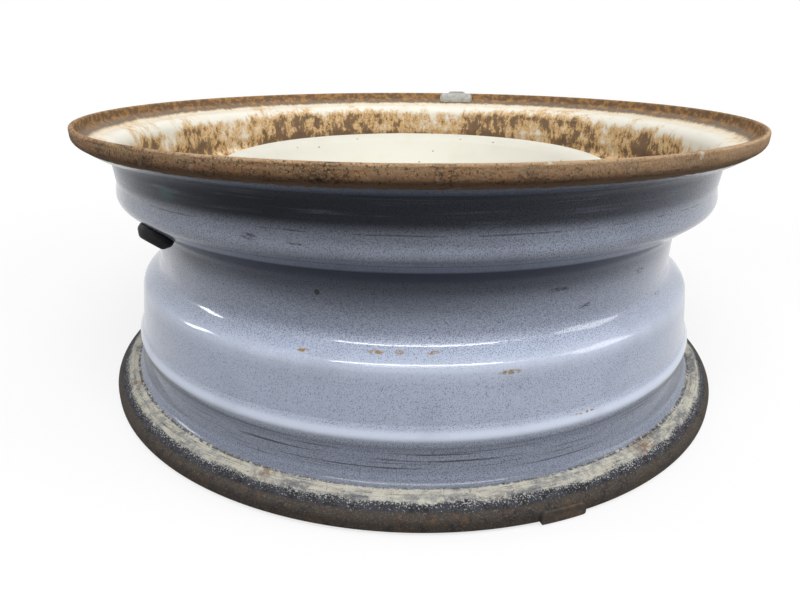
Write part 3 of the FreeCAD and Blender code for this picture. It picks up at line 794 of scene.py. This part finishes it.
# draws a rounded section with one moving vertex: straight runs are extruded, round corners spun
def drawSection(bm, corners, arcStep):
    tip = bm.verts.new((corners[0][0], 0, corners[0][1]))
    made = [tip]

    def runTo(spot):
        grown = bmesh.ops.extrude_vert_indiv(bm, verts=[made[-1]])
        made.append(grown["verts"][0])
        made[-1].co = (spot.x, 0, spot.y)

    for before, here, after in zip(corners, corners[1:], corners[2:]):
        back, ahead = unit(here, before), unit(here, after)
        half = back.angle(ahead) / 2
        corner = Vector(here[:2])
        start = corner + back * (here[2] / math.tan(half))
        middle = corner + (back + ahead).normalized() * (here[2] / math.sin(half))
        turn = math.pi - 2 * half
        side = math.copysign(1, back.x * ahead.y - back.y * ahead.x)
        runTo(start)
        bend = bmesh.ops.spin(bm, geom=[made[-1]], cent=(middle.x, 0, middle.y), axis=(0, side, 0),
                              angle=turn, steps=max(3, round(turn / arcStep)))
        made.append([part for part in bend["geom_last"] if isinstance(part, bmesh.types.BMVert)][0])
    runTo(Vector(corners[-1][:2]))


def newPiece(name, bm, materials):
    mesh = bpy.data.meshes.new(name)
    bm.to_mesh(mesh)
    bm.free()
    for material in materials:
        mesh.materials.append(material)
    for face in mesh.polygons:
        face.use_smooth = True
    piece = bpy.data.objects.new(name, mesh)
    bpy.context.collection.objects.link(piece)
    return piece


# a sheet spun round the axis, the face along the corners in the first material, the other in the next
def spinSheet(shape, corners, wall):
    bm = bmesh.new()
    # both faces of the sheet start and end half-way through it, on the lips' edges
    ends = [(radius - wall / 2, level, 0) for radius, level, bend in (corners[0], corners[-1])]
    for index, face in enumerate((corners, otherFace(corners, wall))):
        edges = [corner[:2] + (shape["lipRound"],) for corner in (face[0], face[-1])]
        section = [ends[0], edges[0]] + face[1:-1] + [edges[1], ends[1]]
        old = set(bm.faces)
        drawSection(bm, section, shape["arcStep"])
        loose = [edge for edge in bm.edges if edge.is_wire]
        points = {vert for edge in loose for vert in edge.verts}
        bmesh.ops.spin(bm, geom=list(points) + loose, cent=(0, 0, 0), axis=(0, 0, 1),
                       angle=2 * math.pi, steps=shape["turns"], use_merge=True)
        for made in set(bm.faces) - old:
            made.material_index = index
    bmesh.ops.remove_doubles(bm, verts=bm.verts, dist=weldGap)
    bmesh.ops.recalc_face_normals(bm, faces=bm.faces)
    return bm


rimSection = rimCorners(rimShape, rimBends)
rimSheet = spinSheet(rimShape, rimSection, rimShape["wall"])
rim = newPiece("rimBarrel", rimSheet, [tyreSide, dishSide])
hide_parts("rim_barrel")
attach(rim, "wheel")
print("rim spun")

# Valve rubber: bulb on the tyre side of the rim, groove for the sheet, neck and sleeve outboard
valveShape = dict(azimuth=-47.0, hole=0.00575, airBore=0.0022, bulb=0.0095, bulbHeight=0.0068,
                  bulbTaper=0.0030, bulbStraight=0.0030, neck=0.0074, neckHeight=0.006, sleeve=0.0057,
                  sleeveDraft=0.0003, top=0.0255, stem=0.00385, stemFoot=0.008, turns=72, arcStep=0.12)
valveRounds = dict(airBore=0.0006, bulb=0.0030, flange=0.0006, groove=0.0003, neck=0.0016, sleeve=0.003,
                   top=0.001, stem=0.0002)


# the middle of the wall between the outboard hump and the well, square to the sheet
def valveSeat(shape, corners):
    hump, well = corners[5:7]
    slope = unit(hump, well)
    middle = (Vector(hump[:2]) + Vector(well[:2])) / 2
    lean = Vector((0, 0, 1)).rotation_difference(Vector((slope.y, 0, -slope.x))).to_matrix().to_4x4()
    turn = Matrix.Rotation(math.radians(shape["azimuth"] - 90), 4, "Z")
    return turn @ Matrix.Translation((middle.x, 0, middle.y)) @ lean


def turnRubber(shape, rounds, wall):
    foot, top, bore, stemFoot = -shape["bulbHeight"], shape["top"], shape["airBore"], shape["stemFoot"]
    section = [
        (bore, stemFoot, 0),
        (bore, foot, rounds["airBore"]),
        (shape["bulb"] - shape["bulbTaper"], foot, rounds["bulb"]),
        (shape["bulb"], -shape["bulbStraight"], rounds["bulb"]),
        (shape["bulb"], 0, rounds["flange"]),
        (shape["hole"], 0, rounds["groove"]),
        (shape["hole"], wall, rounds["groove"]),
        (shape["neck"], wall, rounds["flange"]),
        (shape["neck"], shape["neckHeight"], rounds["neck"]),
        (shape["sleeve"], top / 2, rounds["sleeve"]),
        (shape["sleeve"] - shape["sleeveDraft"], top, rounds["top"]),
        (shape["stem"], top, rounds["stem"]),
        (shape["stem"], stemFoot, rounds["stem"]),
        (bore, stemFoot, 0),
    ]
    bm = bmesh.new()
    drawSection(bm, section, shape["arcStep"])
    bmesh.ops.spin(bm, geom=list(bm.verts) + list(bm.edges), cent=(0, 0, 0), axis=(0, 0, 1),
                   angle=2 * math.pi, steps=shape["turns"], use_merge=True)
    bmesh.ops.remove_doubles(bm, verts=bm.verts, dist=weldGap)
    bmesh.ops.recalc_face_normals(bm, faces=bm.faces)
    bmesh.ops.transform(bm, matrix=valveSeat(shape, rimSection), verts=bm.verts)
    return bm


rubberBody = turnRubber(valveShape, valveRounds, rimShape["wall"])
valveRubber = newPiece("valveRubber", rubberBody, [plain["valveRubber"]])
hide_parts("valve_rubber")
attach(valveRubber, "wheel")
print("valve rubber turned")

# Balance weights: the cast leads are remade from their solids with softened edges
castLeads = dict(outer_weight_lead=("outerLead", plain["castLead"]),
                 inner_weight_lead=("innerLead", plain["clipRusty"]))
casting = dict(grid=0.0007, passes=16, pull=0.5)


def softened(node, name, material, settings):
    bm = bmesh.new()
    bm.from_mesh(nodes[node].data)
    bmesh.ops.remove_doubles(bm, verts=bm.verts, dist=weldGap)
    rough = newPiece(name + "Rough", bm, [])
    remesh = rough.modifiers.new("grid", "REMESH")
    remesh.mode = "VOXEL"
    remesh.voxel_size = settings["grid"]
    evened = rough.evaluated_get(bpy.context.evaluated_depsgraph_get())
    bm = bmesh.new()
    bm.from_mesh(evened.to_mesh())
    bpy.data.objects.remove(rough)
    for count in range(settings["passes"]):
        bmesh.ops.smooth_vert(bm, verts=bm.verts, factor=settings["pull"], use_axis_x=True,
                              use_axis_y=True, use_axis_z=True)
    return newPiece(name, bm, [material])


for node, (name, material) in castLeads.items():
    lead = softened(node, name, material, casting)
    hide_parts(node)
    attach(lead, "wheel")
print("weights softened")


# The other nodes keep their solids and take a finish
nodeFinish = dict(
    wheel_disc=discSkin, disc_welds=dishSide, valve_stem=plain["dullBrass"],
    valve_core_body=plain["dullBrass"], valve_core_gasket=plain["sealPlastic"],
    valve_core_pin=plain["dullBrass"], valve_core_seal=plain["valveRubber"],
    valve_core_spring=plain["springSteel"], valve_cap=plain["capPlastic"],
    valve_cap_seal=plain["valveRubber"], outer_weight_clip=plain["clipGrey"],
    inner_weight_clip=plain["clipRusty"])
for name, material in nodeFinish.items():
    nodes[name].data.materials.clear()
    nodes[name].data.materials.append(material)
print("nodes dressed")
